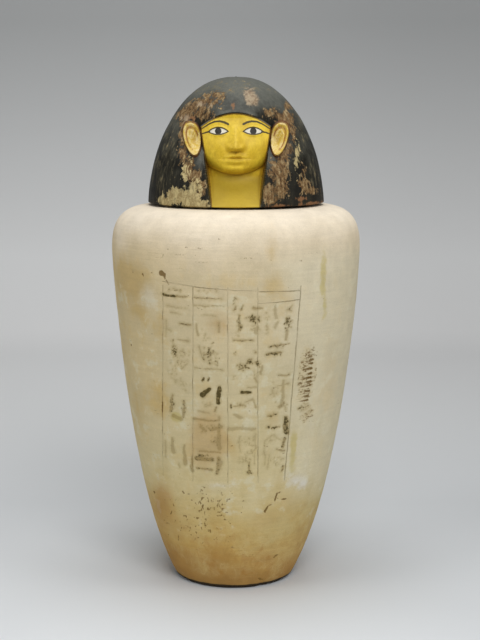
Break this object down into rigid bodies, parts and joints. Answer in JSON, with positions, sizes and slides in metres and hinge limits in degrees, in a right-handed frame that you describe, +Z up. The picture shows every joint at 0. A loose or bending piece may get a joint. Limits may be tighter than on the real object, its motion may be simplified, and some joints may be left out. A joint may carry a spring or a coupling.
{
  "type": "canopic jar",
  "caption": "Tall tapering limestone jar with rounded shoulder and hollow chamber, closed by a loose carved wooden lid shaped as a wigged human head.",
  "frame": {"origin": "centre of the jar's underside, on the surface it stands on", "axes": "+Z up, -Y the way the face looks, +X to the right of a viewer facing it"},
  "size_m": [0.1728, 0.1728, 0.3506],
  "materials": {
    "limestone": "matt cream limestone, stained ochre towards the foot, with faded painted strokes on the front",
    "painted_wood": "carved wood under thin plaster and paint: worn black wig, satin yellow face, black eye lines"
  },
  "bodies": {
    "root": {"jar": "limestone", "lid": "painted_wood"}
  },
  "joints": []
}
